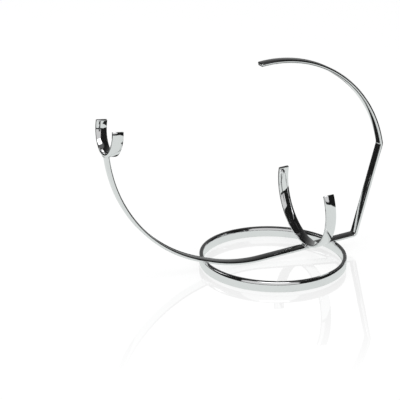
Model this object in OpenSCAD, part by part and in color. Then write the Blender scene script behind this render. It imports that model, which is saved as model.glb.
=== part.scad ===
// Wine rack for one bottle: a flat ring on edge, one bent flat bar and two welded cradles.
// X runs from the neck end to the handle, Z is up, in mm. The origin is on the floor, halfway
// along the rack and level with the ring's centre. The modules draw with the bar's middle in
// the plane Y = 0 and the ring's centre at X = 0, and placed() moves them from there.

/* [Ring] */
// Outside diameter of the base ring
ring_d = 121; // [90:0.5:160]
// Height of the ring's band, standing on edge
ring_h = 9; // [5:0.1:14]
// Thickness of the ring's band
ring_t = 3.2; // [2.6:0.1:5]
// How far the ring's centre stands in front of the bar
ring_side = 5; // [0:0.5:15]

/* [Bar] */
// Width of the flat bar, across its bends
bar_w = 8; // [6:0.1:12]
// Thickness of the flat bar
bar_t = 3; // [2.6:0.1:4.5]
// Radius on the long edges of the ring and the bar
edge_r = 1.1; // [0.4:0.05:1.2]
// Air under the bar where it dips inside the ring
belly_gap = 1.6; // [0.6:0.1:3]
// How deep the weld lets the bar into the ring's top, at the middle of its wall
weld_sink = 0.7; // [0.3:0.05:1.2]

/* [Neck arm] */
// Centre-line radius of both arcs of the arm
arm_r = 115.5; // [95:0.5:140]
// Slope of the straight that crosses the ring
cross_slope = 18; // [16:0.5:24]
// Length of the straight that crosses the ring
cross_len = 8; // [4:0.5:16]
// Height of the neck cradle's axis above the floor
neck_z = 127.8; // [105:0.5:150]

/* [Handle] */
// Distance from the ring's centre to the rear corner
rear_x = 79.3; // [70:0.5:100]
// Inside radius of the sharp rear corner
corner_in = 1.2; // [0.8:0.1:4]
// Lean of the rear upright from the vertical
rear_lean = 14.5; // [8:0.1:20]
// Straight length of the rear upright
rear_len = 77.7; // [60:0.5:95]
// Inside radius of the bend under the handle
bend_in = 4.5; // [2:0.5:10]
// Turn of the bend under the handle
bend_turn = 27.1; // [20:0.1:34]
// Centre-line radius of the handle's arc
handle_r = 99; // [80:0.5:120]
// Sweep of the handle's arc to its free end
handle_sweep = 86.9; // [60:0.5:95]

/* [Cradles] */
// Width of both cradle strips along the bottle
strip_w = 8.8; // [6:0.1:12]
// Thickness of both cradle strips
strip_t = 2.7; // [2:0.1:4]
// Radius on the long edges of the cradle strips
strip_edge = 0.7; // [0.3:0.05:0.9]
// Inside radius of the body cradle
body_r = 39.5; // [36:0.1:46]
// Height of the body cradle's tips above its axis, as an angle
body_tip = 21; // [5:1:35]
// Distance from the ring's centre to the body cradle's seat
seat_x = 36; // [25:0.5:48]
// Inside radius of the neck cradle
neck_r = 16.6; // [15:0.1:22]
// Height of the neck cradle's tips above its axis, as an angle
neck_tip = 14; // [0:1:30]
// Tilt of the neck cradle towards the bottle's slope
neck_tilt = 4.5; // [0:0.5:15]
// How far the neck cradle's middle stands behind the bar's end
neck_set = 1.3; // [0:0.1:2.5]
// Chamfer on the cut ends of the bar and the strips
cut_break = 0.4; // [0.2:0.05:0.6]

/* [Welds] */
// Leg of the weld fillets at the ring and the body cradle
weld_leg = 1.5; // [0.8:0.1:2]
// Leg of the weld collar under the neck cradle
neck_leg = 1; // [0.6:0.1:1.6]
// Width of each weld bead, short of the bar's rounded edges
weld_w = 5.4; // [4:0.1:5.6]

/* [Hidden] */
$fn = 144;
corner_fn = 16;
cope_over = 0.8;
weld_over = 0.3;
joint_step = 0.01;
joint_in = 0.1;

ring_ro = ring_d / 2;
ring_ri = ring_ro - ring_t;
cross_x = sqrt(pow(ring_ro - ring_t / 2, 2) - pow(ring_side, 2));

// Underside radius of the arm's lower arc and its centre, from the left seat on the ring.
under_r = arm_r + bar_t / 2;
low_z = belly_gap + under_r;
seat_z = ring_h - weld_sink;
low_reach = (under_r - (low_z - seat_z) * cos(cross_slope)) / sin(cross_slope);
low_x = low_reach - cross_x;

// Rise of the straight that leaves the lower arc and bears on the ring's right side.
rise_run = cross_x - low_x;
rise_drop = low_z - seat_z;
rise_far = sqrt(pow(rise_run, 2) + pow(rise_drop, 2));
rise = atan2(rise_run, rise_drop) - acos(under_r / rise_far);

// Upper arc of the arm, carried on from the straight across the ring.
turn_x = low_x - arm_r * sin(cross_slope) - cross_len * cos(cross_slope);
turn_z = low_z - arm_r * cos(cross_slope) + cross_len * sin(cross_slope);
arm_x = turn_x + arm_r * sin(cross_slope);
arm_z = turn_z + arm_r * cos(cross_slope);

// The bar's upper end runs past the strip's outside and is coped to it.
neck_out = neck_r + strip_t;
neck_seat = neck_z - neck_out * cos(neck_tilt);
end_z = neck_seat + neck_out - sqrt(pow(neck_out, 2) - pow(bar_w / 2, 2)) + cope_over;
end_drop = arm_z - end_z;
end_angle = asin(end_drop / arm_r);
end_x = arm_x - arm_r * cos(end_angle);
neck_x = end_x + neck_set + neck_out * sin(neck_tilt);

// Turns and straights of the bar, all to the left: radius, turn, length.
corner_r = corner_in + bar_t / 2;
bend_r = bend_in + bar_t / 2;
corner_turn = 90 - rear_lean - rise;
tangent_x = low_x + arm_r * sin(rise);
run_len = (rear_x - tangent_x) / cos(rise) - corner_r * tan(corner_turn / 2);
bar_path = [
  [arm_r, 90 - end_angle - cross_slope, 0],
  [0, 0, cross_len],
  [arm_r, cross_slope + rise, 0],
  [0, 0, run_len],
  [corner_r, corner_turn, 0],
  [0, 0, rear_len],
  [bend_r, bend_turn, 0],
  [handle_r, handle_sweep, 0]
];

// Halfway along the rack, between the neck cradle's rim and the bend under the handle.
rim_x = (strip_w / 2 - strip_edge) * cos(neck_tilt) + (neck_out - strip_edge) * sin(neck_tilt);
left_x = neck_x - rim_x - strip_edge;
right_x = place(6)[0] + bend_r * left(head(6))[0] + bend_r + bar_t / 2;
mid_x = (left_x + right_x) / 2;

// Middle of the body cradle, standing square on the bar's top.
run_z = low_z - arm_r * cos(rise) + (seat_x - tangent_x) * tan(rise);
body_lift = bar_t / 2 + strip_t + body_r;
body_x = seat_x - body_lift * sin(rise);
body_z = run_z + body_lift * cos(rise);

function head(i) = i == 0 ? end_angle - 90 : head(i - 1) + bar_path[i - 1][1];
function left(a) = [-sin(a), cos(a)];
function stepped(p, h, s) = s[0] == 0
  ? p + s[2] * [cos(h), sin(h)]
  : p + s[0] * (left(h) - left(h + s[1]));
function place(i) = i == 0 ? [end_x, end_z] : stepped(place(i - 1), head(i - 1), bar_path[i - 1]);

module placed() {
  translate([-mid_x, ring_side, 0]) children();
}

// Flat section with rounded long edges: a across the thickness, b across the width.
module flat_section(a, b, r) {
  square([a - 2 * r, b], center = true);
  square([a, b - 2 * r], center = true);
  for (u = [-1, 1]) {
    for (v = [-1, 1]) {
      translate([u * (a / 2 - r), v * (b / 2 - r)]) circle(r, $fn = corner_fn);
    }
  }
}

// Stands a drawing of the bar's plane upright, with its second axis as Z.
module upright() {
  rotate([90, 0, 0]) children();
}

// One turn or straight of the bar. Every other one is a hair thinner and runs into its
// neighbours, so that no two surfaces lie on each other where the pieces meet.
module bar_piece(i) {
  s = bar_path[i];
  p = place(i);
  h = head(i);
  thin = i % 2 == 1 ? joint_step : 0;
  back = i % 2 == 1 ? joint_in : 0;
  on = i < len(bar_path) - 1 ? back : 0;
  if (s[0] == 0) {
    translate([p[0], p[1], 0])
      rotate([0, 0, h])
        translate([-back, 0, 0])
          rotate([90, 0, 90])
            linear_extrude(height = s[2] + back + on) bar_section(thin);
  } else {
    c = p + s[0] * left(h);
    back_turn = back / s[0] * 180 / PI;
    translate([c[0], c[1], 0])
      rotate([0, 0, h - 90 - back_turn])
        rotate_extrude(angle = s[1] + back_turn, $fn = s[0] > 20 ? 180 : 64)
          translate([s[0], 0]) bar_section(thin);
  }
}

module bar_section(thin) {
  flat_section(bar_t - 2 * thin, bar_w - 2 * thin, edge_r - thin);
}

module bar_pieces(picked) {
  upright()
    for (i = picked) {
      bar_piece(i);
    }
}

// Breaks the edges of the handle's free end.
module handle_break() {
  last = len(bar_path);
  upright()
    translate([place(last)[0], place(last)[1], 0])
      rotate([0, 0, head(last) - 90]) end_break(bar_t, bar_w);
}

module ring_solid() {
  translate([0, -ring_side, 0])
    rotate_extrude($fn = 144)
      translate([ring_ro - ring_t / 2, ring_h / 2]) flat_section(ring_t, ring_h, edge_r);
}

// A strip rolled round an axis that runs along the bottle, open at the top.
module strip(r, tip) {
  sweep = 180 + 2 * tip;
  rotate([0, 90, 0])
    rotate([0, 0, -90 - tip])
      difference() {
        rotate_extrude(angle = sweep)
          translate([r + strip_t / 2, 0]) flat_section(strip_t, strip_w, strip_edge);
        for (at = [0, sweep]) {
          rotate([0, 0, at]) translate([r + strip_t / 2, 0, 0]) end_break(strip_t, strip_w);
        }
      }
}

// Blocks that break the four edges of a cut in the plane Y = 0: a across the thickness
// along X, b across the width along Z.
module end_break(a, b) {
  side = cut_break * sqrt(2);
  for (u = [-1, 1]) {
    translate([u * a / 2, 0, 0])
      rotate([0, 0, 45]) cube([side, side, b + 2 * cut_break], center = true);
    translate([0, 0, u * b / 2])
      rotate([45, 0, 0]) cube([a + 2 * cut_break, side, side], center = true);
  }
}

module at_neck() {
  translate([neck_x, 0, neck_z]) rotate([0, neck_tilt, 0]) children();
}

module at_body() {
  translate([body_x, 0, body_z]) rotate([0, -rise, 0]) children();
}

// The outside of the neck cradle's strip, carried on along its axis.
module neck_cope() {
  at_neck() rotate([0, 90, 0]) cylinder(r = neck_out, h = 4 * strip_w, center = true, $fn = 360);
}

// Point on a weld's face that leans from a wall at [0, 0] to [leg, rise], k of the way up.
// The faces run past both ends, so that the pieces they join cut them.
function on_face(leg, rise, k) = [k * leg, k * rise];

// Weld bead along both walls of the ring at azimuth az, under the bar's pieces in crossing.
module ring_bead(az, slope, crossing) {
  half = asin(weld_w / 2 / ring_ro);
  reach = ring_t / 2 + weld_leg;
  foot = ring_h - edge_r - weld_leg;
  in_rise = seat_z - reach * tan(slope) - foot;
  out_rise = seat_z + reach * tan(slope) - foot;
  difference() {
    translate([0, -ring_side, 0])
      rotate([0, 0, az - half])
        rotate_extrude(angle = 2 * half, $fn = 144)
          polygon([
            [ring_ri, foot] + on_face(-weld_leg, in_rise, -weld_over),
            [ring_ri, foot] + on_face(-weld_leg, in_rise, 1 + weld_over),
            [ring_ro, foot] + on_face(weld_leg, out_rise, 1 + weld_over),
            [ring_ro, foot] + on_face(weld_leg, out_rise, -weld_over)
          ]);
    ring_solid();
    bar_pieces(crossing);
  }
}

module base_ring() {
  color([0.80, 0.81, 0.82])
    placed() difference() {
      ring_solid();
      bar_pieces([0, 1, 2, 3]);
    }
}

module bent_bar() {
  color([0.70, 0.72, 0.75])
    placed() difference() {
      bar_pieces([for (i = [0 : len(bar_path) - 1]) i]);
      neck_cope();
      handle_break();
    }
}

module neck_cradle() {
  color([0.86, 0.80, 0.66])
    placed() at_neck() strip(neck_r, neck_tip);
}

module body_cradle() {
  color([0.66, 0.78, 0.86])
    placed() at_body() strip(body_r, body_tip);
}

module neck_weld() {
  foot = neck_seat - 2 * neck_leg;
  color([0.78, 0.55, 0.45])
    placed() difference() {
      upright()
        linear_extrude(height = weld_w, center = true)
          polygon([
            [end_x - bar_t / 2, foot] + on_face(-neck_leg, neck_seat - foot, -weld_over),
            [end_x + bar_t / 2, foot] + on_face(neck_leg, neck_seat - foot, -weld_over),
            [end_x + bar_t / 2, foot] + on_face(neck_leg, neck_seat - foot, 1 + weld_over),
            [end_x - bar_t / 2, foot] + on_face(-neck_leg, neck_seat - foot, 1 + weld_over)
          ]);
      bar_pieces([0]);
      neck_cope();
    }
}

module body_weld() {
  color([0.78, 0.55, 0.45])
    placed() difference() {
      at_body()
        translate([0, 0, -body_r - strip_t])
          for (u = [-1, 1]) {
            translate([u * strip_w / 2, 0, 0])
              rotate([90, 0, 0])
                linear_extrude(height = weld_w, center = true)
                  polygon([
                    [-u * strip_edge / 2, -weld_over * weld_leg],
                    [u * weld_leg, 0] + on_face(-u * weld_leg, weld_leg, -weld_over),
                    [u * weld_leg, 0] + on_face(-u * weld_leg, weld_leg, 1 + weld_over)
                  ]);
          }
      bar_pieces([3]);
      at_body() rotate([0, 90, 0]) rotate_extrude($fn = 240)
        translate([body_r + strip_t / 2, 0]) flat_section(strip_t, strip_w, strip_edge);
    }
}

module left_ring_weld() {
  color([0.78, 0.55, 0.45])
    placed() ring_bead(180 - asin(ring_side / ring_ro), cross_slope, [0, 1, 2]);
}

module right_ring_weld() {
  color([0.78, 0.55, 0.45])
    placed() ring_bead(asin(ring_side / ring_ro), rise, [3]);
}

base_ring();
bent_bar();
neck_cradle();
body_cradle();
neck_weld();
body_weld();
left_ring_weld();
right_ring_weld();
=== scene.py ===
import math

import bmesh
import bpy
from mathutils import Matrix, Vector


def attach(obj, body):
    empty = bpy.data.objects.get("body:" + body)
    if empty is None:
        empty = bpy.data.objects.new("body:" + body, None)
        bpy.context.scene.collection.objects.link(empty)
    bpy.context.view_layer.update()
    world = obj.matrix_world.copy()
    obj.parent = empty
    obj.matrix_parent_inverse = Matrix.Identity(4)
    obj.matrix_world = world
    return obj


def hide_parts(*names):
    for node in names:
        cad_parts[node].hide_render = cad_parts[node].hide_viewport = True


bl_info = {
    "name": "Bent bar wine rack",
    "version": (1, 0, 0),
    "blender": (4, 5, 0),
    "location": "View3D > Sidebar > Wine rack",
    "description": "Makes a chromed wine rack for one bottle from its bends and sections",
    "category": "Object",
}

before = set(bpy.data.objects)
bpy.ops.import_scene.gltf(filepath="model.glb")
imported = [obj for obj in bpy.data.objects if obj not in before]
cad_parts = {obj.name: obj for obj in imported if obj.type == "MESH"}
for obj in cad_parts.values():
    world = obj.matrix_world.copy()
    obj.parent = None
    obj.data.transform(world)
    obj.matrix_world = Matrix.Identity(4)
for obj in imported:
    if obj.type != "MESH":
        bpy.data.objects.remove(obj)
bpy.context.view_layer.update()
BODY = "root"
MM = 0.001

# The build
COPE_OVER = 0.8 * MM  # how far the arm's coped end goes past the neck cradle's round
BEAD_SINK = 0.35 * MM  # how far a bead's middle lies under the bar's edge on the ring
EDGE_FACETS = 6  # on each rounded long edge of a flat
FLAT_MARGIN = 0.00025  # flat kept level beside each rounded long edge

# Plating: lumps per metre of each noise
CLOUD_SCALE, SPECK_SCALE, WAVE_SCALE, GRAIN_SCALE = 38.0, 900.0, 95.0, 1400.0
LINE_SCALE = (25.0, 5200.0, 1.0)  # along the flat, round it
# Where handling starts and is full in the clouds, and dust and dull spots in the specks
HANDLED, DUSTY, DULL = (0.45, 0.72), (0.62, 0.75), (0.6, 0.8)
# Share of haze where dusty and where handled, roughness of a dull spot, height of the grain
DUST_HAZE, HANDLED_HAZE, DULL_ROUGH, GRAIN = 0.35, 0.25, 0.05, 0.5
# Strength and height of all waves, lines and grain
RELIEF, RELIEF_DEPTH = 0.35, 0.00012

# Room in the chrome: cosines from the far side's middle where it starts and is full,
# sines of the rise where the ceiling starts and is full, how fast the far side fades upwards
FAR_SIDE, CEILING, FAR_FADE = (0.64, 0.9), (0.86, 0.96), 2.4

# Soft boxes in the chrome: bearing, lower and upper rise, half width, level, fade
SOFTBOXES = (
    (26.0, -30.0, 19.0, 5.0, 0.6, 4.0),
    (-120.0, 4.0, 50.0, 44.0, 0.68, 3.0),
    (-120.0, 46.0, 80.0, 44.0, 0.7, 8.0),
)

# Edges of the paper in the chrome, with painted dark reflection beyond them: bearing, reach from
# the camera's aim, fade
PAPER_EDGES = (
    (-40.0, 1.60, 0.60),
    (150.0, 0.34, 0.10),
    (18.0, 0.34, 0.05),
)

# A painted dark reflection behind the rack, a dark patch on the floor in the chrome: middle from
# the camera's aim, half sizes, fade
PAINTED_PATCH_MIDDLE, PAINTED_PATCH_HALF, PAINTED_PATCH_FADE = (0.064, 0.265), (0.08, 0.185), 0.02

# Corners of the painted bottle reflection, a dark sheet over the body cradle: left, front, low and
# right, back, high
BOTTLE_REFLECTION_SHEET = ((-0.09, -0.033, 0.08), (0.085, 0.043, 0.1))

FLOOR_REACH = 6.0

# Lamps: place and side, and the point that both face
KEY_LAMP, BACK_LAMP = ((-0.16, -0.50, 1.45), 0.80), ((-0.75, 0.75, 1.10), 0.45)
LAMP_AIM = (0.0, 0.0, 0.06)


def length(name, description, value):
    """A length property in metres."""
    return bpy.props.FloatProperty(
        name=name, description=description, default=value, min=0.0, max=2.0,
        precision=5, subtype="DISTANCE", unit="LENGTH")


def angle(name, description, degrees):
    """An angle property."""
    return bpy.props.FloatProperty(
        name=name, description=description, default=math.radians(degrees),
        subtype="ANGLE", unit="ROTATION")


def share(name, description, value, high=1.0):
    """A plain number from nothing to high."""
    return bpy.props.FloatProperty(
        name=name, description=description, default=value, min=0.0, max=high, precision=4)


def tint(name, description, value):
    """A colour property."""
    return bpy.props.FloatVectorProperty(
        name=name, description=description, default=value, size=3, min=0.0, max=1.0,
        subtype="COLOR")


class RackSizes(bpy.types.PropertyGroup):
    """Sizes of the ring, the bent bar, the cradles and the weld beads."""

    ring_d: length("Ring diameter", "Outside diameter of the base ring", 0.121)
    ring_h: length("Ring height", "Height of the ring's band, on edge", 0.009)
    ring_t: length("Ring thickness", "Thickness of the ring's band", 0.0032)
    ring_side: length("Ring offset", "How far the bar stands behind the ring's centre", 0.005)
    bar_w: length("Bar width", "Width of the flat bar, across its bends", 0.008)
    bar_t: length("Bar thickness", "Thickness of the flat bar", 0.003)
    edge_r: length("Edge radius", "Radius on the long edges of the ring and the bar", 0.0011)
    ring_crown: length("Ring crown", "Fall of the ring's walls from middle to edges", 0.0012)
    top_crown: length("Ring top crown", "Fall of the ring's top from middle to edges", 0.0001)
    bar_crown: length("Bar crown", "Fall of the bar's broad faces from middle to edges", 0.0003)
    strip_crown: length("Strip crown", "Fall of the strips' faces from middle to edges", 0.0009)
    side_crown: length("Side crown", "Fall of the bar's and strips' narrow faces", 0.0007)
    belly_gap: length("Belly gap", "Air under the bar where it dips inside the ring", 0.0016)
    weld_sink: length("Seat depth", "How deep the bar is let into the ring's top", 0.0007)
    arm_r: length("Arm radius", "Centre-line radius of both arcs of the arm", 0.1155)
    cross_slope: angle("Cross slope", "Slope of the straight that crosses the ring", 18.0)
    cross_len: length("Cross length", "Length of the straight that crosses the ring", 0.008)
    neck_z: length("Neck height", "Height of the neck cradle's axis", 0.1278)
    rear_x: length("Rear reach", "From the ring's centre to the rear corner", 0.0793)
    corner_in: length("Corner radius", "Inside radius of the sharp rear corner", 0.0012)
    rear_lean: angle("Rear lean", "Lean of the rear upright from the vertical", 14.5)
    rear_len: length("Rear length", "Straight length of the rear upright", 0.0777)
    bend_in: length("Bend radius", "Inside radius of the bend under the handle", 0.0045)
    bend_turn: angle("Bend turn", "Turn of the bend under the handle", 27.1)
    handle_r: length("Handle radius", "Centre-line radius of the handle's arc", 0.099)
    handle_sweep: angle("Handle sweep", "Sweep of the handle's arc", 86.9)
    strip_w: length("Strip width", "Width of both cradle strips", 0.0088)
    strip_t: length("Strip thickness", "Thickness of both cradle strips", 0.0027)
    strip_edge: length("Strip edge", "Radius on the long edges of the strips", 0.0007)
    body_r: length("Body radius", "Inside radius of the body cradle", 0.0395)
    body_tip: angle("Body tips", "Rise of the body cradle's tips above its axis", 21.0)
    seat_x: length("Seat place", "From the ring's centre to the body cradle's seat", 0.036)
    neck_r: length("Neck radius", "Inside radius of the neck cradle", 0.0166)
    neck_tip: angle("Neck tips", "Rise of the neck cradle's tips above its axis", 14.0)
    neck_tilt: angle("Neck tilt", "Tilt of the neck cradle towards the bottle's slope", 4.5)
    neck_set: length("Neck set", "How far the neck cradle stands behind the bar's end", 0.0013)
    cut_break: length("Cut edge break", "Rounding on the cut ends of bar and strips", 0.00045)
    bead_r: length("Weld bead radius", "Radius of the weld beads", 0.00115)
    bead_len: length("Weld bead length", "Length of each weld bead", 0.0058)
    mid_x: length("Middle", "From the origin back to the ring's centre", 0.022102)


class RackFinish(bpy.types.PropertyGroup):
    """Colour and polish of the chrome plating."""

    chrome: tint("Chrome", "Reflected colour of the plating", (0.86, 0.865, 0.87))
    haze: tint("Chrome haze", "Colour where the plating is thin or dusty", (0.74, 0.745, 0.75))
    gloss: share("Roughness", "Roughness of the polished plating", 0.045)
    smudge: share("Smudge", "Roughness added where the plating was handled", 0.05)
    wave: share("Wave", "Height of the slow waves left by bending and buffing", 0.35)
    line: share("Polishing lines", "Height of the fine lines left by polishing", 0.06)


class StageLook(bpy.types.PropertyGroup):
    """Floor, light and camera."""

    floor: tint("Floor", "Colour of the floor", (1.0, 1.0, 1.0))
    paper: tint("Paper", "Colour of the paper under the rack as the chrome mirrors it",
                (0.76, 0.79, 0.775))
    mirror_near: length("Mirror near", "Where the floor stops mirroring, before the rack", 0.21)
    mirror_far: length("Mirror far", "Where it mirrors fully, before the rack", 0.03)
    shadow: share("Shadow", "Share of the floor that takes light and shadow", 0.2)
    mirror: share("Mirror", "Share of the floor that mirrors", 0.13)
    soft: share("Soft light", "Level of the light from all round", 0.93, 4.0)
    dark: share("Dark sides", "Level of the room's dark sides in the chrome", 0.012)
    glow: share("Far side", "Level of the far side at the horizon in the chrome", 0.25)
    far_bearing: angle("Far bearing", "Bearing of the middle of the far side", 58.0)
    ceiling: share("Ceiling", "Level of the ceiling in the chrome", 0.12)
    key: share("Key light", "Power of the large lamp in watts", 4.0, 500.0)
    back: share("Back light", "Power of the lamp behind in watts", 1.0, 500.0)
    turn: angle("Camera turn", "How far the camera looks round from straight behind", 24.196)
    dip: angle("Camera dip", "How far the camera looks down", 20.117)
    roll: angle("Camera roll", "Roll of the camera", 0.55)
    distance: length("Camera distance", "From the camera to the point it looks at", 1.0)
    aim: bpy.props.FloatVectorProperty(
        name="Aim", description="The point that the camera looks at",
        default=(-0.044088, 0.0, 0.064268), size=3, precision=5, subtype="XYZ", unit="LENGTH")
    lens: bpy.props.FloatProperty(
        name="Lens", description="Focal length on a sensor 36 mm wide", default=114.3,
        unit="CAMERA")


class Value:
    """One socket of a node tree, so that sums are written as plain expressions."""

    def __init__(self, desk, socket):
        self.desk = desk
        self.socket = socket

    def math(self, operation, *others):
        """This socket and the others through a Math node."""
        node = self.desk.add(
            "ShaderNodeMath", {"operation": operation}, dict(enumerate((self,) + others)))
        return self.desk.out(node)

    def flipped(self, operation, other):
        """The same with this socket second."""
        node = self.desk.add(
            "ShaderNodeMath", {"operation": operation}, {0: other, 1: self})
        return self.desk.out(node)

    def __add__(self, other):
        return self.math("ADD", other)

    def __radd__(self, other):
        return self.flipped("ADD", other)

    def __sub__(self, other):
        return self.math("SUBTRACT", other)

    def __rsub__(self, other):
        return self.flipped("SUBTRACT", other)

    def __mul__(self, other):
        return self.math("MULTIPLY", other)

    def __rmul__(self, other):
        return self.flipped("MULTIPLY", other)

    def __truediv__(self, other):
        return self.math("DIVIDE", other)

    def __rtruediv__(self, other):
        return self.flipped("DIVIDE", other)

    def __pow__(self, other):
        return self.math("POWER", other)

    def __neg__(self):
        return self.math("MULTIPLY", -1.0)

    def floor(self):
        return self.math("FLOOR")

    def sin(self):
        return self.math("SINE")

    def cos(self):
        return self.math("COSINE")

    def sign(self):
        return self.math("SIGN")

    def size(self):
        return self.math("ABSOLUTE")

    def above(self, other):
        return self.math("GREATER_THAN", other)

    def below(self, other):
        return self.math("LESS_THAN", other)

    def least(self, other):
        return self.math("MINIMUM", other)

    def most(self, other):
        return self.math("MAXIMUM", other)


class Desk:
    """A node tree under construction."""

    def __init__(self, tree):
        self.tree = tree

    def add(self, kind, settings=None, values=None):
        """Adds a node: first its settings, then the values or links of its sockets."""
        node = self.tree.nodes.new(kind)
        for name, setting in (settings or {}).items():
            setattr(node, name, setting)
        for key, value in (values or {}).items():
            socket = node.inputs[key]
            if isinstance(value, Value):
                self.tree.links.new(value.socket, socket)
            else:
                socket.default_value = value
        return node

    def out(self, node, name=0):
        """One output of a node, by name or number."""
        return Value(self, node.outputs[name])

    def take(self, kind, settings=None, values=None, output=0):
        """Adds a node and gives one of its outputs."""
        return self.out(self.add(kind, settings, values), output)


# Sweeping a rounded flat section along a path


def start_tree(name, inputs, output):
    """A new tree with named inputs, its desk and its input node."""
    tree = bpy.data.node_groups.new(name, "GeometryNodeTree")
    for socket, kind in inputs:
        tree.interface.new_socket(socket, in_out="INPUT", socket_type="NodeSocket" + kind)
    tree.interface.new_socket(output, in_out="OUTPUT", socket_type="NodeSocketGeometry")
    desk = Desk(tree)
    return tree, desk, desk.add("NodeGroupInput")


def end_tree(desk, given, shape):
    """Ends a tree with smooth shading, real geometry and the material."""
    shape = desk.take("GeometryNodeSetShadeSmooth", None,
                      {"Geometry": shape, "Shade Smooth": True})
    shape = desk.take("GeometryNodeRealizeInstances", None, {"Geometry": shape})
    shape = desk.take("GeometryNodeSetMaterial", None,
                      {"Geometry": shape, "Material": desk.out(given, "Finish")})
    desk.add("NodeGroupOutput", None, {0: shape})


def section_points(desk, wide, thick, edge, facets, margin):
    """Closed outline of a flat section with rounded edges, as a curve.

    Each corner has a point on both flats, margin past its arc, so that the flats shade flat.
    """
    corner_points = facets + 3.0  # facets + 1 on the arc and one on each flat
    circle = desk.take("GeometryNodeCurvePrimitiveCircle", {"mode": "RADIUS"},
                       {"Resolution": corner_points * 4.0, "Radius": 1.0}, "Curve")
    index = desk.take("GeometryNodeInputIndex")
    # The small sum keeps a whole number from being rounded down.
    corner = (index / corner_points + 0.001).floor()
    step = index - corner * corner_points
    turned = ((step - 1.0) / facets).most(0.0).least(1.0)
    start = corner * (math.pi / 2)
    bearing = start + turned * (math.pi / 2)
    slide = (step.above(corner_points - 1.5) - step.below(0.5)) * margin
    diagonal = start + math.pi / 4
    mid_u = diagonal.cos().sign() * (thick / 2.0 - edge)
    mid_v = diagonal.sin().sign() * (wide / 2.0 - edge)
    along_u = mid_u + edge * bearing.cos() - slide * bearing.sin()
    along_v = mid_v + edge * bearing.sin() + slide * bearing.cos()
    spot = desk.take("ShaderNodeCombineXYZ", None, {"X": along_v, "Y": along_u, "Z": 0.0})
    return desk.take("GeometryNodeSetPosition", None, {"Geometry": circle, "Position": spot})


def captured(desk, curve, **marks):
    """A curve that keeps values of its points, and those values."""
    capture = desk.add("GeometryNodeCaptureAttribute", {"domain": "POINT"}, {"Geometry": curve})
    for name, (kind, value) in marks.items():
        capture.capture_items.new(kind, name)
        desk.tree.links.new(value.socket, capture.inputs[name])
    return [desk.out(capture, name) for name in ("Geometry", *marks)]


def sweep_tree():
    """Node tree that sweeps a rounded flat section along the edges of a mesh."""
    name = "Swept flat"
    if name in bpy.data.node_groups:
        return bpy.data.node_groups[name]
    inputs = (("Path", "Geometry"), ("Width", "Float"), ("Thickness", "Float"),
              ("Edge radius", "Float"), ("Edge facets", "Int"), ("Flat margin", "Float"),
              ("Width direction", "Vector"), ("Finish", "Material"))
    tree, desk, given = start_tree(name, inputs, "Strip")
    wide, thick = desk.out(given, "Width"), desk.out(given, "Thickness")
    edge, facets = desk.out(given, "Edge radius"), desk.out(given, "Edge facets")
    outline = section_points(desk, wide, thick, edge, facets, desk.out(given, "Flat margin"))
    path = desk.take("GeometryNodeMeshToCurve", None, {"Mesh": desk.out(given, "Path")})
    path = desk.take("GeometryNodeSetCurveNormal", {"mode": "FREE"},
                     {"Curve": path, "Normal": desk.out(given, "Width direction")})
    run = desk.take("GeometryNodeSplineParameter", output="Length")
    place = desk.take("GeometryNodeInputPosition")
    path, along = captured(desk, path, Run=("FLOAT", run))
    outline, about, place = captured(
        desk, outline, Run=("FLOAT", run), Place=("VECTOR", place))
    swept = desk.take("GeometryNodeCurveToMesh", None,
                      {"Curve": path, "Profile Curve": outline, "Fill Caps": True})
    # Metres along the path and round the section.
    spot = desk.take("ShaderNodeCombineXYZ", None, {"X": along, "Y": about})
    swept = desk.take("GeometryNodeStoreNamedAttribute",
                      {"data_type": "FLOAT2", "domain": "CORNER"},
                      {"Geometry": swept, "Name": "UVMap", "Value": spot})
    # Place in the section, from -1 to 1 across its width and its thickness.
    half = desk.take("ShaderNodeCombineXYZ", None, {"X": wide / 2.0, "Y": thick / 2.0, "Z": 1.0})
    across = desk.take("ShaderNodeVectorMath", {"operation": "DIVIDE"}, {0: place, 1: half})
    swept = desk.take("GeometryNodeStoreNamedAttribute",
                      {"data_type": "FLOAT_VECTOR", "domain": "POINT"},
                      {"Geometry": swept, "Name": "Section", "Value": across})
    end_tree(desk, given, swept)
    return tree


def bead_tree():
    """Node tree of a weld bead: a short rippled run that thins to both ends."""
    name = "Weld bead"
    if name in bpy.data.node_groups:
        return bpy.data.node_groups[name]
    inputs = (("Path", "Geometry"), ("Radius", "Float"), ("Ripple", "Float"),
              ("Ripples", "Float"), ("Facets", "Int"), ("Finish", "Material"))
    tree, desk, given = start_tree(name, inputs, "Bead")
    facets = desk.out(given, "Facets")
    path = desk.take("GeometryNodeMeshToCurve", None, {"Mesh": desk.out(given, "Path")})
    path = desk.take("GeometryNodeResampleCurve", {"mode": "COUNT"},
                     {"Curve": path, "Count": facets * 3.0})
    along = desk.take("GeometryNodeSplineParameter", output="Factor")
    side = along * 2.0 - 1.0
    # Full in the middle, round at both ends, and never quite a point.
    thin = (1.0 - side ** 4.0).most(0.0004) ** 0.5
    beat = (along * desk.out(given, "Ripples") * math.tau).sin()
    ripple = 1.0 + desk.out(given, "Ripple") * beat
    outline = desk.take("GeometryNodeCurvePrimitiveCircle", {"mode": "RADIUS"},
                        {"Resolution": facets, "Radius": desk.out(given, "Radius")})
    swept = desk.take("GeometryNodeCurveToMesh", None,
                      {"Curve": path, "Profile Curve": outline, "Scale": thin * ripple,
                       "Fill Caps": True})
    end_tree(desk, given, swept)
    return tree


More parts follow.
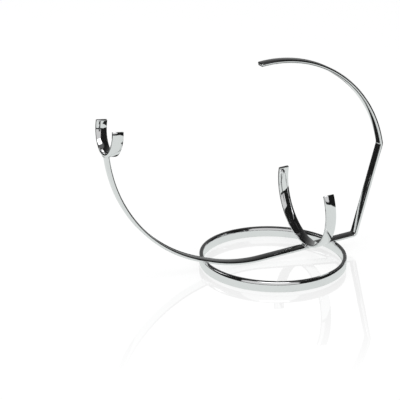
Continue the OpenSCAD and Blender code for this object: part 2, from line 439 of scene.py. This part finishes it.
def grown(name, runs, tree, values):
    """Runs a node tree over paths of points and keeps the result as a plain mesh.

    runs is a list of (points, closed).
    """
    points, edges = [], []
    for run, closed in runs:
        first = len(points)
        points.extend(run)
        edges.extend((first + k, first + k + 1) for k in range(len(run) - 1))
        if closed:
            edges.append((len(points) - 1, first))
    path = bpy.data.meshes.new(name + "_path")
    path.from_pydata(points, edges, [])
    piece = bpy.data.objects.new(name, path)
    bpy.context.scene.collection.objects.link(piece)
    growth = piece.modifiers.new("Growth", "NODES")
    growth.node_group = tree
    for item in tree.interface.items_tree:
        if item.in_out == "INPUT" and item.name in values:
            growth[item.identifier] = values[item.name]
    graph = bpy.context.evaluated_depsgraph_get()
    graph.update()
    mesh = bpy.data.meshes.new_from_object(
        piece.evaluated_get(graph), preserve_all_data_layers=True, depsgraph=graph)
    piece.modifiers.clear()
    piece.data = mesh
    mesh.name = name
    bpy.data.meshes.remove(path)
    shell = bmesh.new()
    shell.from_mesh(mesh)
    # Joins points that coincide and turns every face outwards.
    bmesh.ops.remove_doubles(shell, verts=shell.verts, dist=1e-7)
    bmesh.ops.recalc_face_normals(shell, faces=shell.faces)
    shell.to_mesh(mesh)
    shell.free()
    return piece


def settle(piece, *nodes):
    """Gives a finished piece its body, in place of CAD nodes."""
    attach(piece, BODY)
    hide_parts(*nodes)


def break_cuts(piece, width):
    """Rounds the sharp rims of the cut ends."""
    cut = piece.modifiers.new("Cut edges", "BEVEL")
    cut.width = width
    cut.segments = 3
    cut.limit_method = "ANGLE"
    cut.angle_limit = math.radians(50)


# The bends of the bar


class BarRoute:
    """The bar's centre line: arcs and straights, all turning to the left, neck end first."""

    def __init__(self, s):
        # The belly's arc clears the floor, and the straights on both sides of it lie on the
        # ring's top where the bar crosses it.
        ring_mid = s.ring_d / 2 - s.ring_t / 2
        self.cross_x = math.sqrt(ring_mid ** 2 - s.ring_side ** 2)
        under_r = s.arm_r + s.bar_t / 2
        belly_z = s.belly_gap + under_r
        drop = belly_z - (s.ring_h - s.weld_sink)
        reach = (under_r - drop * math.cos(s.cross_slope)) / math.sin(s.cross_slope)
        belly_x = reach - self.cross_x
        run = self.cross_x - belly_x
        self.rise = math.atan2(run, drop) - math.acos(under_r / math.hypot(run, drop))
        # The arm's arc ends under the neck cradle, inside the strip's round.
        arm_x = belly_x - s.cross_len * math.cos(s.cross_slope)
        arm_z = belly_z + s.cross_len * math.sin(s.cross_slope)
        neck_out = s.neck_r + s.strip_t
        neck_under = s.neck_z - neck_out * math.cos(s.neck_tilt)
        dip = neck_out - math.sqrt(neck_out ** 2 - (s.bar_w / 2) ** 2)
        end_z = neck_under + dip + COPE_OVER
        end_angle = math.asin((arm_z - end_z) / s.arm_r)
        end_x = arm_x - s.arm_r * math.cos(end_angle)
        self.end = (end_x, end_z)
        self.neck_seat = (end_x, neck_under)
        self.neck_mid = (end_x + s.neck_set + neck_out * math.sin(s.neck_tilt), s.neck_z)
        # The straight to the rear corner leaves the belly at tangent_x.
        corner_r = s.corner_in + s.bar_t / 2
        corner_turn = math.pi / 2 - s.rear_lean - self.rise
        tangent_x = belly_x + s.arm_r * math.sin(self.rise)
        run_len = ((s.rear_x - tangent_x) / math.cos(self.rise)
                   - corner_r * math.tan(corner_turn / 2))
        self.heading = end_angle - math.pi / 2
        # Radius and turn of an arc, or the length of a straight.
        self.steps = [
            (s.arm_r, math.pi / 2 - end_angle - s.cross_slope, 0.0),
            (0.0, 0.0, s.cross_len),
            (s.arm_r, s.cross_slope + self.rise, 0.0),
            (0.0, 0.0, run_len),
            (corner_r, corner_turn, 0.0),
            (0.0, 0.0, s.rear_len),
            (s.bend_in + s.bar_t / 2, s.bend_turn, 0.0),
            (s.handle_r, s.handle_sweep, 0.0),
        ]
        # The body cradle lies on that straight.
        seat_z = (belly_z - s.arm_r * math.cos(self.rise)
                  + (s.seat_x - tangent_x) * math.tan(self.rise))
        lift = s.bar_t / 2 + s.strip_t + s.body_r
        self.body_mid = (s.seat_x - lift * math.sin(self.rise), seat_z + lift * math.cos(self.rise))
        self.body_seat = (s.seat_x - s.bar_t / 2 * math.sin(self.rise),
                          seat_z + s.bar_t / 2 * math.cos(self.rise))
        self.shift = (s.mid_x, s.ring_side)

    def points(self, chord=0.0016, fewest=12, margin=0.0003):
        """Points along the centre line, with a close pair at each end of a straight."""
        x, z = self.end
        heading = self.heading
        spots = [(x, z)]
        for radius, turn, straight in self.steps:
            if radius == 0.0:
                marks = [margin, straight / 3, straight * 2 / 3, straight - margin, straight]
                spots.extend((x + m * math.cos(heading), z + m * math.sin(heading))
                             for m in marks)
                x, z = spots[-1]
                continue
            mid = (x - radius * math.sin(heading), z + radius * math.cos(heading))
            count = max(fewest, math.ceil(radius * turn / chord))
            for k in range(1, count + 1):
                at = heading - math.pi / 2 + turn * k / count
                spots.append((mid[0] + radius * math.cos(at), mid[1] + radius * math.sin(at)))
            x, z = spots[-1]
            heading += turn
        return [self.placed(u, 0.0, w) for u, w in spots]

    def placed(self, x, y, z):
        """A point of the rack, given from the ring's centre and the bar's middle plane."""
        return Vector((x + self.shift[0], y + self.shift[1], z))


def flat_values(width, thickness, edge, direction, finish):
    """Inputs of the sweep for one section."""
    return {
        "Width": width, "Thickness": thickness, "Edge radius": edge,
        "Edge facets": EDGE_FACETS, "Flat margin": min(FLAT_MARGIN, thickness / 2 - edge),
        "Width direction": direction, "Finish": finish,
    }


# Finishes


def noise(desk, where, scale, detail=2.0, roughness=0.5, stretch=None):
    """Noise from 0 to 1 at a scale in lumps per metre."""
    if stretch:
        where = desk.take("ShaderNodeMapping", {"vector_type": "POINT"},
                          {"Vector": where, "Scale": stretch})
    return desk.take("ShaderNodeTexNoise", {"noise_dimensions": "3D"},
                     {"Vector": where, "Scale": scale, "Detail": detail,
                      "Roughness": roughness}, "Fac")


def eased(desk, value, low, high):
    """0 below low, 1 above high and a soft slope between."""
    return desk.take("ShaderNodeMapRange", {"interpolation_type": "SMOOTHSTEP"},
                     {"Value": value, "From Min": low, "From Max": high})


def mixed(desk, cover, first, second):
    """The first colour, covered by the second as far as cover says."""
    return desk.take("ShaderNodeMix", {"data_type": "RGBA"}, {0: cover, 6: first, 7: second}, 2)


def grey(level):
    """A grey as a colour."""
    return (level, level, level, 1.0)


def past(desk, value, edge, fade):
    """0 before an edge and 1 past it, with a fade across it."""
    return eased(desk, value, edge - fade / 2, edge + fade / 2)


def towards(x, y, bearing):
    """How far a place on the floor, or a direction, reaches towards a bearing."""
    return x * math.cos(bearing) + y * math.sin(bearing)


def blank(name):
    """A new material with no nodes, and the desk to fill it."""
    finish = bpy.data.materials.new(name)
    finish.use_nodes = True
    finish.node_tree.nodes.clear()
    return finish, Desk(finish.node_tree)


def chrome(name, look, crown=0.0, side_crown=0.0, drawn=True, rough=0.0):
    """Bright chrome plating over a drawn flat or over a weld bead.

    crown and side_crown are how far the broad and the narrow faces fall towards their edges,
    and rough adds to the plating's roughness.
    """
    if name in bpy.data.materials:
        return bpy.data.materials[name]
    finish, desk = blank(name)
    coords = desk.add("ShaderNodeTexCoord")
    where = desk.out(coords, "Object")
    cloud = noise(desk, where, CLOUD_SCALE, detail=3.0)
    speck = noise(desk, where, SPECK_SCALE)
    handled = eased(desk, cloud, *HANDLED)
    hazy = eased(desk, speck, *DUSTY) * DUST_HAZE + handled * HANDLED_HAZE
    colour = mixed(desk, hazy, (*look.chrome, 1.0), (*look.haze, 1.0))
    roughness = (look.gloss + rough + handled * look.smudge
                 + eased(desk, speck, *DULL) * DULL_ROUGH)
    height = noise(desk, where, WAVE_SCALE, detail=1.0) * look.wave
    relief = {"Strength": RELIEF, "Distance": RELIEF_DEPTH}
    if drawn:
        lines = noise(desk, desk.out(coords, "UV"), 1.0, roughness=0.6, stretch=LINE_SCALE)
        relief["Height"] = height + lines * look.line
        # A face falls with the square of the way from its middle.
        section = desk.take("ShaderNodeAttribute", {"attribute_name": "Section"},
                            output="Vector")
        parts = desk.add("ShaderNodeSeparateXYZ", None, {"Vector": section})
        fall = (desk.out(parts, "X") ** 2.0 * (crown / MM)
                + desk.out(parts, "Y") ** 2.0 * (side_crown / MM))
        relief["Normal"] = desk.take(
            "ShaderNodeBump", None, {"Strength": 1.0, "Distance": MM, "Height": -fall}, "Normal")
    else:
        relief["Height"] = height + noise(desk, where, GRAIN_SCALE) * GRAIN
    bump = desk.take("ShaderNodeBump", None, relief, "Normal")
    shader = desk.take(
        "ShaderNodeBsdfPrincipled", None,
        {"Base Color": colour, "Roughness": roughness, "Metallic": 1.0, "Normal": bump}, "BSDF")
    desk.add("ShaderNodeOutputMaterial", {"is_active_output": True}, {"Surface": shader})
    return finish


# The pieces


class RACK_OT_ring(bpy.types.Operator):
    """Make the base ring: a flat band rolled into a circle and stood on edge."""

    bl_idname = "rack.ring"
    bl_label = "Base ring"

    def execute(self, context):
        s, look = context.scene.rack_sizes, context.scene.rack_finish
        middle = s.ring_d / 2 - s.ring_t / 2
        count = 220
        circle = [
            (s.mid_x + middle * math.cos(math.tau * k / count),
             middle * math.sin(math.tau * k / count), s.ring_h / 2)
            for k in range(count)]
        finish = chrome("Chrome_ring", look, s.ring_crown, s.top_crown)
        piece = grown("Base_ring", [(circle, True)], sweep_tree(),
                      flat_values(s.ring_h, s.ring_t, s.edge_r, (0, 0, 1), finish))
        settle(piece, "base_ring")
        return {"FINISHED"}


class RACK_OT_bar(bpy.types.Operator):
    """Make the bent bar: one flat bar, from the neck end through the ring to the handle."""

    bl_idname = "rack.bar"
    bl_label = "Bent bar"

    def execute(self, context):
        s, look = context.scene.rack_sizes, context.scene.rack_finish
        route = BarRoute(s)
        finish = chrome("Chrome_bar", look, s.bar_crown, s.side_crown)
        piece = grown("Bent_bar", [(route.points(), False)], sweep_tree(),
                      flat_values(s.bar_w, s.bar_t, s.edge_r, (0, 1, 0), finish))
        break_cuts(piece, s.cut_break)
        settle(piece, "bent_bar")
        return {"FINISHED"}


def cradle_points(route, middle, tilt, radius, tip, count):
    """Points along a strip rolled round an axis that leans by tilt from X."""
    spots = []
    for k in range(count + 1):
        at = -math.pi / 2 - (math.pi / 2 + tip) + (math.pi + 2 * tip) * k / count
        side, up = radius * math.cos(at), radius * math.sin(at)
        spots.append(route.placed(middle[0] + up * math.sin(tilt), side,
                                  middle[1] + up * math.cos(tilt)))
    return spots


class RACK_OT_cradles(bpy.types.Operator):
    """Make the body cradle and the neck cradle, each a short strip rolled to a C."""

    bl_idname = "rack.cradles"
    bl_label = "Cradles"

    def execute(self, context):
        s, look = context.scene.rack_sizes, context.scene.rack_finish
        route = BarRoute(s)
        finish = chrome("Chrome_strip", look, s.strip_crown, s.side_crown)
        pieces = (
            ("Body_cradle", "body_cradle", route.body_mid, -route.rise, s.body_r, s.body_tip, 110),
            ("Neck_cradle", "neck_cradle", route.neck_mid, s.neck_tilt, s.neck_r, s.neck_tip, 72),
        )
        for name, node, middle, tilt, inside, tip, count in pieces:
            spots = cradle_points(route, middle, tilt, inside + s.strip_t / 2, tip, count)
            axis = (math.cos(tilt), 0.0, -math.sin(tilt))
            piece = grown(name, [(spots, False)], sweep_tree(),
                          flat_values(s.strip_w, s.strip_t, s.strip_edge, axis, finish))
            break_cuts(piece, s.cut_break)
            settle(piece, node)
        return {"FINISHED"}


class RACK_OT_welds(bpy.types.Operator):
    """Make the weld beads at the ring, under the body cradle and under the neck cradle."""

    bl_idname = "rack.welds"
    bl_label = "Weld beads"

    def execute(self, context):
        s, look = context.scene.rack_sizes, context.scene.rack_finish
        route = BarRoute(s)
        finish = chrome("Chrome_weld", look, drawn=False, rough=0.05)
        half = s.bead_len / 2
        values = {"Radius": s.bead_r, "Ripple": 0.05, "Ripples": 6.0, "Facets": 18,
                  "Finish": finish}

        def across(spots):
            """Straight beads across the bar."""
            return [([route.placed(x, -half, z), route.placed(x, half, z)], False)
                    for x, z in spots]

        def on_ring(side, slope, steps=8):
            """Beads along both walls of the ring, bent to its curve."""
            runs = []
            for radius in (s.ring_d / 2 - s.ring_t, s.ring_d / 2):
                spots = []
                for k in range(steps + 1):
                    y = -half + 2 * half * k / steps
                    x = side * math.sqrt(radius ** 2 - (y + s.ring_side) ** 2)
                    z = (s.ring_h - s.weld_sink
                         + (x - side * route.cross_x) * math.tan(slope))
                    spots.append(route.placed(x, y, z - BEAD_SINK))
                runs.append((spots, False))
            return runs

        neck_x, neck_z = route.neck_seat
        seat_x, seat_z = route.body_seat
        wide = s.strip_w / 2
        body = [(seat_x + u * wide * math.cos(route.rise), seat_z + u * wide * math.sin(route.rise))
                for u in (-1, 1)]
        neck = [(neck_x + u * s.bar_t / 2, neck_z) for u in (-1, 1)]
        groups = (
            ("Left_ring_weld", "left_ring_weld", on_ring(-1, -s.cross_slope)),
            ("Right_ring_weld", "right_ring_weld", on_ring(1, route.rise)),
            ("Body_weld", "body_weld", across(body)),
            ("Neck_weld", "neck_weld", across(neck)),
        )
        for name, node, runs in groups:
            piece = grown(name, runs, bead_tree(), values)
            settle(piece, node)
        return {"FINISHED"}


class RACK_OT_stage(bpy.types.Operator):
    """Make the floor, the light and the camera."""

    bl_idname = "rack.stage"
    bl_label = "Stage"

    def execute(self, context):
        look = context.scene.rack_stage
        self.floor(context, look)
        self.room(context, look)
        self.lamps(context, look)
        self.flag(context, look)
        self.camera(context, look)
        context.scene.view_settings.view_transform = "Standard"
        return {"FINISHED"}

    def sheet(self, context, name, corners, finish):
        """Adds one flat sheet to the stage."""
        mesh = bpy.data.meshes.new(name)
        mesh.from_pydata(corners, [], [(0, 1, 2, 3)])
        mesh.materials.append(finish)
        sheet = bpy.data.objects.new(name, mesh)
        context.scene.collection.objects.link(sheet)
        return sheet

    def floor(self, context, look):
        """A glossy white floor that keeps the rack's shadow and mirrors it faintly.

        The chrome mirrors it as pale paper, with painted dark reflection beyond its edges and on
        one patch behind the rack.
        """
        finish, desk = blank("White_floor")
        white = (*look.floor, 1.0)
        coords = desk.add("ShaderNodeTexCoord")
        parts = desk.add("ShaderNodeSeparateXYZ", None, {"Vector": desk.out(coords, "Object")})
        x, y = desk.out(parts, "X") - look.aim[0], desk.out(parts, "Y") - look.aim[1]
        along = x * math.sin(look.turn) + y * math.cos(look.turn)
        # Painted dark reflection: a dark patch behind the rack that only the chrome sees
        on_painted_patch = [1.0 - past(desk, (place - middle).size(), half, PAINTED_PATCH_FADE)
                   for place, middle, half in zip((x, y), PAINTED_PATCH_MIDDLE, PAINTED_PATCH_HALF)]
        dark = on_painted_patch[0] * on_painted_patch[1]
        # Painted dark reflection beyond the paper's edges, which only the chrome sees
        for bearing, reach, fade in PAPER_EDGES:
            outwards = towards(x, y, math.radians(bearing))
            dark = dark.most(past(desk, outwards, reach, fade))
        paper = mixed(desk, dark, (*look.paper, 1.0), grey(look.dark))
        ray = desk.add("ShaderNodeLightPath")
        matt = desk.take("ShaderNodeBsdfDiffuse", None, {"Color": white})
        glow = desk.take("ShaderNodeEmission", None, {"Color": white, "Strength": 1.0})
        shine = desk.take("ShaderNodeBsdfGlossy", None, {"Color": white, "Roughness": 0.0})
        mirrored = desk.take("ShaderNodeEmission", None, {"Color": paper, "Strength": 1.0})
        faint = eased(desk, along, -look.mirror_near, -look.mirror_far) * look.mirror
        base = desk.take("ShaderNodeMixShader", None, {0: look.shadow, 1: glow, 2: matt})
        full = desk.take("ShaderNodeMixShader", None, {0: faint, 1: base, 2: shine})
        full = desk.take("ShaderNodeMixShader", None,
                         {0: desk.out(ray, "Is Glossy Ray"), 1: full, 2: mirrored})
        desk.add("ShaderNodeOutputMaterial", None, {"Surface": full})
        reach = FLOOR_REACH
        self.sheet(context, "Floor", [(-reach, -reach, 0), (reach, -reach, 0),
                                      (reach, reach, 0), (-reach, reach, 0)], finish)

    def room(self, context, look):
        """White where the camera or the floor sees it, dark at the sides in the chrome."""
        world = bpy.data.worlds.new("Studio")
        context.scene.world = world
        world.use_nodes = True
        world.node_tree.nodes.clear()
        desk = Desk(world.node_tree)
        coords = desk.add("ShaderNodeTexCoord")
        parts = desk.add("ShaderNodeSeparateXYZ", None,
                         {"Vector": desk.out(coords, "Generated")})
        up = desk.out(parts, "Z")
        flat = (1.0 - up * up).most(0.0001) ** 0.5
        x, y = desk.out(parts, "X") / flat, desk.out(parts, "Y") / flat
        far = eased(desk, towards(x, y, look.far_bearing), *FAR_SIDE)
        high = eased(desk, up, *CEILING)
        band = (look.dark + far * (1.0 - up).most(0.0) ** FAR_FADE * look.glow
                + high * look.ceiling)
        for bearing, low, top, half, level, fade in SOFTBOXES:
            facing = towards(x, y, math.radians(bearing))
            inside = eased(desk, facing, math.cos(math.radians(half + fade / 2)),
                           math.cos(math.radians(half - fade / 2)))
            over = eased(desk, up, math.sin(math.radians(low - fade / 2)),
                         math.sin(math.radians(low + fade / 2)))
            under = 1.0 - eased(desk, up, math.sin(math.radians(top - fade / 2)),
                                math.sin(math.radians(top + fade / 2)))
            band = band.most(inside * over * under * level)
        ray = desk.add("ShaderNodeLightPath")
        seen = desk.out(ray, "Is Camera Ray").most(desk.out(ray, "Is Transmission Ray"))
        seen = seen.most(desk.out(ray, "Is Singular Ray"))
        shiny = desk.out(ray, "Is Glossy Ray") * (1.0 - seen)
        light = mixed(desk, shiny, grey(look.soft), band)
        light = mixed(desk, seen, light, grey(1.0))
        backdrop = desk.take("ShaderNodeBackground", None, {"Color": light, "Strength": 1.0})
        desk.add("ShaderNodeOutputWorld", None, {"Surface": backdrop})

    def lamps(self, context, look):
        """One large soft lamp overhead and a smaller one behind on the left."""
        for name, (spot, size), power in (
                ("Key", KEY_LAMP, look.key), ("Back", BACK_LAMP, look.back)):
            lamp = bpy.data.lights.new(name, "AREA")
            lamp.shape = "SQUARE"
            lamp.size = size
            lamp.energy = power
            holder = bpy.data.objects.new(name, lamp)
            context.scene.collection.objects.link(holder)
            aim = Vector(LAMP_AIM) - Vector(spot)
            holder.location = spot
            holder.rotation_euler = aim.to_track_quat("-Z", "Y").to_euler()

    def flag(self, context, look):
        """A dark sheet where the bottle would lie, over the body cradle and the bar, which the
        chrome alone mirrors: a painted dark reflection of the bottle, which is not built.
        """
        (left, front, low), (right, back, high) = BOTTLE_REFLECTION_SHEET
        finish, desk = blank("Flag_black")
        ray = desk.add("ShaderNodeLightPath")
        # Painted dark reflection: dark for mirror rays, clear for all other rays
        black = desk.take("ShaderNodeEmission", None,
                          {"Color": grey(look.dark), "Strength": 1.0})
        clear = desk.take("ShaderNodeBsdfTransparent")
        full = desk.take("ShaderNodeMixShader", None,
                         {0: desk.out(ray, "Is Singular Ray"), 1: black, 2: clear})
        desk.add("ShaderNodeOutputMaterial", None, {"Surface": full})
        flag = self.sheet(context, "Bottle_reflection_sheet", [(left, front, high), (right, front, low),
                                            (right, back, low), (left, back, high)], finish)
        flag.visible_camera = flag.visible_diffuse = flag.visible_shadow = False
        flag.visible_transmission = flag.visible_volume_scatter = False

    def camera(self, context, look):
        """The camera, turned, dipped and rolled about the point it looks at."""
        ahead = Vector((math.sin(look.turn) * math.cos(look.dip),
                        math.cos(look.turn) * math.cos(look.dip), -math.sin(look.dip)))
        right = Vector((math.cos(look.turn), -math.sin(look.turn), 0.0))
        up = right.cross(ahead)
        right, up = (right * math.cos(look.roll) + up * math.sin(look.roll),
                     up * math.cos(look.roll) - right * math.sin(look.roll))
        lens = bpy.data.cameras.new("Camera")
        lens.sensor_width = 36.0
        lens.lens = look.lens
        lens.dof.use_dof = False
        holder = bpy.data.objects.new("Camera", lens)
        context.scene.collection.objects.link(holder)
        turn = Matrix((right, up, -ahead)).transposed().to_4x4()
        holder.matrix_world = Matrix.Translation(Vector(look.aim) - ahead * look.distance) @ turn
        context.scene.camera = holder


class RACK_PT_panel(bpy.types.Panel):
    """Lists the pieces of the rack and their sizes."""

    bl_idname = "RACK_PT_panel"
    bl_label = "Wine rack"
    bl_space_type = "VIEW_3D"
    bl_region_type = "UI"
    bl_category = "Wine rack"

    def draw(self, context):
        for step in STEPS:
            self.layout.operator(step.bl_idname)
        for group in (context.scene.rack_sizes, context.scene.rack_finish,
                      context.scene.rack_stage):
            box = self.layout.box()
            for name in group.__annotations__:
                box.prop(group, name)


GROUPS = (RackSizes, RackFinish, StageLook)
STEPS = (RACK_OT_ring, RACK_OT_bar, RACK_OT_cradles, RACK_OT_welds, RACK_OT_stage)
CLASSES = GROUPS + STEPS + (RACK_PT_panel,)


def register():
    for cls in CLASSES:
        bpy.utils.register_class(cls)
    bpy.types.Scene.rack_sizes = bpy.props.PointerProperty(type=RackSizes)
    bpy.types.Scene.rack_finish = bpy.props.PointerProperty(type=RackFinish)
    bpy.types.Scene.rack_stage = bpy.props.PointerProperty(type=StageLook)


def unregister():
    del bpy.types.Scene.rack_stage
    del bpy.types.Scene.rack_finish
    del bpy.types.Scene.rack_sizes
    for cls in reversed(CLASSES):
        bpy.utils.unregister_class(cls)


def main():
    register()
    bpy.ops.rack.ring()
    bpy.ops.rack.bar()
    bpy.ops.rack.cradles()
    bpy.ops.rack.welds()
    bpy.ops.rack.stage()


if __name__ == "__main__":
    main()
